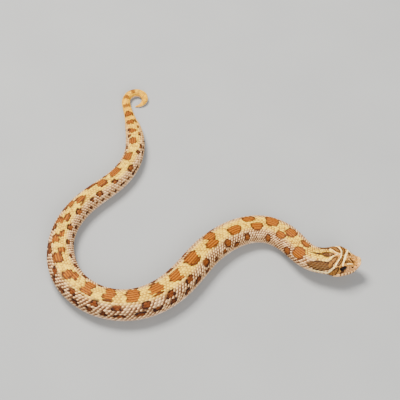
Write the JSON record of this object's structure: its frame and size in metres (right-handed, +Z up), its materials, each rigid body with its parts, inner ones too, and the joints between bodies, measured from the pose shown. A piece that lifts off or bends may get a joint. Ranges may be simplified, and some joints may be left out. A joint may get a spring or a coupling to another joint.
{
  "type": "young western hognose snake",
  "caption": "Life-size still model of a young hognose snake lying in a loose double bend, head slightly raised and tail tip curled.",
  "frame": {"origin": "the middle of the animal's outline on the surface that it lies on", "axes": "+Z up, +X the way the head points, +Y towards the curled tail"},
  "size_m": [0.0916, 0.0924, 0.0082],
  "materials": {
    "head_skin": "smooth plates, ochre brown with pale lines",
    "body_skin": "keeled scales, cream with orange-brown blotches",
    "tail_skin": "keeled scales, yellow cream with faint orange bands",
    "eye": "wet gloss"
  },
  "bodies": {
    "root": {"head": "head_skin", "lower_jaw": "head_skin", "eye_left": "eye", "eye_right": "eye", "neck": "body_skin", "forebody_front": "body_skin", "forebody_rear": "body_skin", "midbody_front": "body_skin", "midbody_middle": "body_skin", "midbody_rear": "body_skin", "hindbody_front": "body_skin", "hindbody_rear": "body_skin", "tail_base": "tail_skin", "tail_curl": "tail_skin"}
  },
  "joints": []
}
